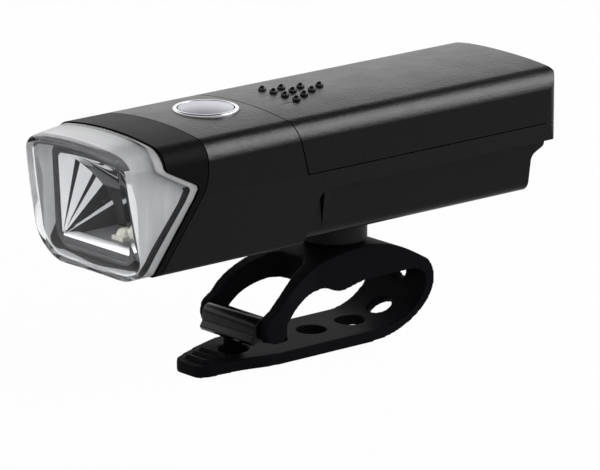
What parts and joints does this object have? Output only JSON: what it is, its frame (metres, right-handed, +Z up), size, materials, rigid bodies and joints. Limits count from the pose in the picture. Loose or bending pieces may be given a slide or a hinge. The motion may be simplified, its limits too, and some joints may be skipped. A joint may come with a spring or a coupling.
{
  "type": "bike headlight",
  "caption": "Battery bike headlight: black box body with a wrap-round clear lens, top button and sliding battery cover, on a swivel puck with a rubber handlebar strap.",
  "frame": {"origin": "middle of the strap loop, where the handlebar passes, on the swivel axis", "axes": "+X along the beam, +Y along the handlebar towards the lamp's left, +Z up along the swivel axis"},
  "size_m": [0.1166, 0.035, 0.057],
  "materials": {
    "strap_rubber": "matte black moulded rubber",
    "hook_plastic": "glossy black hard plastic",
    "puck_plastic": "dark grey moulded plastic",
    "housing_plastic": "charcoal black, fine spark-eroded texture",
    "cover_plastic": "charcoal black, fine spark-eroded texture",
    "bezel_plastic": "deep black, matte",
    "lens_clear": "clear moulded polycarbonate",
    "seal_rubber": "silicone",
    "mirror_chrome": "vacuum metallised plastic",
    "light_board": "white coated metal-core board",
    "emitter": "phosphor under a clear dome",
    "sink_metal": "bare sheet",
    "board_green": "solder mask",
    "chip_black": "moulded component bodies",
    "button_metal": "bright plated ring",
    "button_pearl": "translucent pearl grey",
    "plunger_plastic": "moulded key plunger",
    "steel": "zinc plated",
    "brass": "knurled insert",
    "cell_wrap": "plain two-tone foil sleeve",
    "spring_steel": "nickel plated",
    "wire_red": "insulated lead",
    "wire_black": "insulated lead",
    "washer_nylon": "natural nylon"
  },
  "bodies": {
    "mount": {"strap": "strap_rubber", "hook_buckle": "hook_plastic", "pivot_puck": "puck_plastic"},
    "lamp": {"main_housing": "housing_plastic", "front_bezel": "bezel_plastic", "lens": "lens_clear", "lens_seal": "seal_rubber", "reflector": "mirror_chrome", "led_board": "light_board", "led_emitter": "emitter", "heat_sink": "sink_metal", "control_board": "board_green", "board_components": "chip_black", "tact_switch": "chip_black", "button_ring": "button_metal", "button_seal": "seal_rubber", "board_screws": "steel", "reflector_screws": "steel", "cell_left": "cell_wrap", "cell_right": "cell_wrap", "contact_positive": "spring_steel", "contact_negative": "spring_steel", "contact_bridge": "spring_steel", "battery_springs": "spring_steel", "battery_wires": "wire_red", "led_wires": "wire_black", "pivot_screw": "steel", "pivot_insert": "brass", "friction_washer": "washer_nylon"},
    "cover": {"battery_cover": "cover_plastic"},
    "button": {"button_cap": "button_pearl", "switch_plunger": "plunger_plastic"}
  },
  "joints": [
    {"name": "swivel", "type": "hinge", "parent": "mount", "child": "lamp", "pos_m": [0, 0, 0.0187], "axis": [0, 0, 1], "continuous": true},
    {"name": "cover_slide", "type": "slide", "parent": "lamp", "child": "cover", "axis": [-1, 0, 0], "range_m": [0, 0.075]},
    {"name": "button_press", "type": "slide", "parent": "lamp", "child": "button", "axis": [0, 0, -1], "range_m": [0, 0.0004], "stiffness_N_per_m": 4000}
  ]
}
